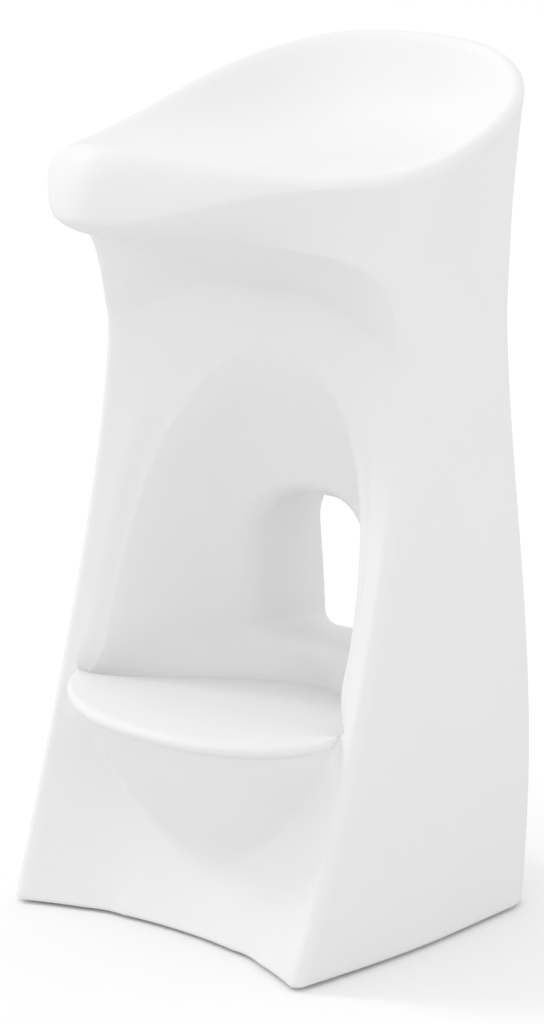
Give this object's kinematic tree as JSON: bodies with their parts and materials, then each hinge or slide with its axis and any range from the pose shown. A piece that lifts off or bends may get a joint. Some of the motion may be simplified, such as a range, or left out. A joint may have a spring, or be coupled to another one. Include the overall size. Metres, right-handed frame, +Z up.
{
  "type": "pool bar stool",
  "caption": "Hollow moulded in-pool bar stool: scooped seat with an overhanging nose, arched front recess, rear window and footrest, filled with water through capped ports.",
  "frame": {"origin": "on the floor under the middle of the bounding box, in the mirror plane", "axes": "+Z up, the nose of the seat and the footrest face -Y, the window and the ports face +Y, X runs across"},
  "size_m": [0.4156, 0.492, 0.84],
  "materials": {
    "body_plastic": "fine satin texture of a rotational mould",
    "cap_plastic": "satin",
    "insert_brass": "turned",
    "seal_rubber": "matt",
    "foot_rubber": "matt",
    "fastener_steel": "stainless"
  },
  "bodies": {
    "base": {"body_shell": "body_plastic", "fill_insert": "insert_brass", "drain_insert": "insert_brass", "front_left_foot_pad": "foot_rubber", "front_right_foot_pad": "foot_rubber", "back_left_foot_pad": "foot_rubber", "back_right_foot_pad": "foot_rubber", "foot_inserts": "insert_brass", "foot_washers": "fastener_steel", "foot_screws": "fastener_steel"},
    "fill_seal_body": {"fill_seal": "seal_rubber"},
    "fill_cap_body": {"fill_cap": "cap_plastic"},
    "drain_seal_body": {"drain_seal": "seal_rubber"},
    "drain_plug_body": {"drain_plug": "cap_plastic"}
  },
  "joints": [
    {"name": "fill_cap_lift", "type": "slide", "parent": "base", "child": "fill_seal_body", "axis": [0, 1, 0], "range_m": [0, 0.012]},
    {"name": "fill_cap_turn", "type": "hinge", "parent": "fill_seal_body", "child": "fill_cap_body", "pos_m": [0, 0.17, 0.56], "axis": [0, 1, 0], "range_deg": [0, 1080]},
    {"name": "drain_plug_lift", "type": "slide", "parent": "base", "child": "drain_seal_body", "axis": [0, 1, 0], "range_m": [0, 0.012]},
    {"name": "drain_plug_turn", "type": "hinge", "parent": "drain_seal_body", "child": "drain_plug_body", "pos_m": [0, 0.19, 0.07], "axis": [0, 1, 0], "range_deg": [0, 1080]}
  ],
  "couplings": [
    {"joint": "fill_cap_turn", "follows": "fill_cap_lift", "rad_per_m": 1570.8},
    {"joint": "drain_plug_turn", "follows": "drain_plug_lift", "rad_per_m": 1570.8}
  ]
}
